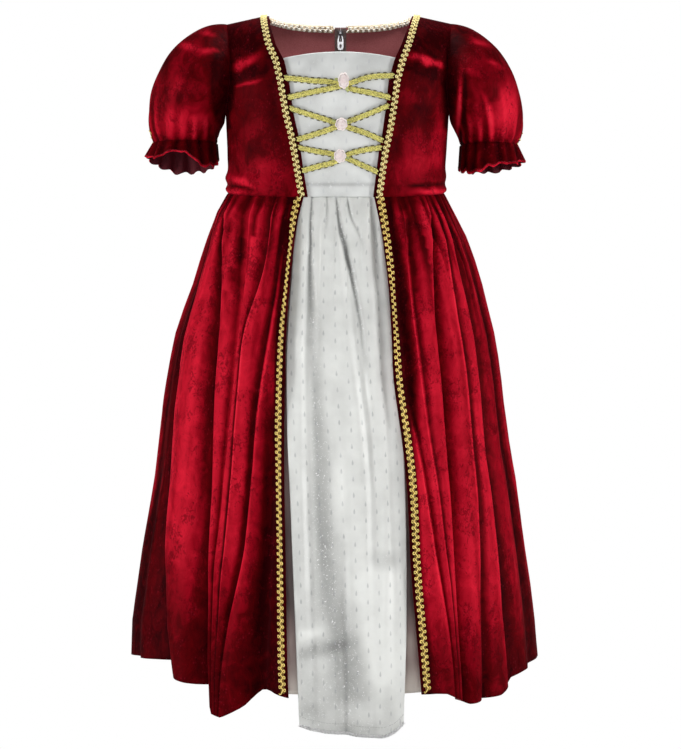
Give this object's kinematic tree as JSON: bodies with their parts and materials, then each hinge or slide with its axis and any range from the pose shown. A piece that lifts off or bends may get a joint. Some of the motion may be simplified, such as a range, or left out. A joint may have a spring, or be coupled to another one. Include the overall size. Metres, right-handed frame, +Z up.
{
  "type": "princess costume dress",
  "caption": "Child's long princess costume dress: velvet bodice with puff sleeves, laced pale insert and an open gathered skirt over a pale apron.",
  "frame": {"origin": "midway between the two shoulder seams, at the height of their neck ends", "axes": "+Z up, -Y towards the front of the dress, +X towards the wearer's left"},
  "size_m": [0.4537, 0.3496, 0.7512],
  "materials": {
    "velvet": "crushed velvet with a soft nap",
    "brocade": "pale satin brocade with a small silver repeat",
    "underlay_satin": "plain satin",
    "gold_braid": "metallic gold thread braid",
    "rose_ribbon": "pale pink satin ribbon",
    "zip_tape": "woven dark tape",
    "zip_metal": "satin silver metal"
  },
  "bodies": {
    "garment": {"bodice_front_left": "velvet", "bodice_front_right": "velvet", "bodice_back_left": "velvet", "bodice_back_right": "velvet", "skirt_front_left": "velvet", "skirt_front_right": "velvet", "skirt_back_left": "velvet", "skirt_back_right": "velvet", "sleeve_left": "velvet", "sleeve_right": "velvet", "bodice_insert": "brocade", "apron": "brocade", "skirt_underlay": "underlay_satin", "braid_neck_left": "gold_braid", "braid_neck_right": "gold_braid", "braid_neck_back_left": "gold_braid", "braid_neck_back_right": "gold_braid", "braid_skirt_left": "gold_braid", "braid_skirt_right": "gold_braid", "braid_cuff_left": "gold_braid", "braid_cuff_right": "gold_braid", "lacing_1_a": "gold_braid", "lacing_1_b": "gold_braid", "lacing_2_a": "gold_braid", "lacing_2_b": "gold_braid", "lacing_3_a": "gold_braid", "lacing_3_b": "gold_braid", "rose_1": "rose_ribbon", "rose_2": "rose_ribbon", "rose_3": "rose_ribbon", "zip_tape_left": "zip_tape", "zip_tape_right": "zip_tape", "zip_slider": "zip_metal"},
    "pull_tab": {"zip_pull": "zip_metal"}
  },
  "joints": [
    {"name": "zip_pull_hinge", "type": "hinge", "parent": "garment", "child": "pull_tab", "pos_m": [0, 0.06025, -0.02052], "axis": [-1, 0, 0], "range_deg": [0, 150]}
  ]
}
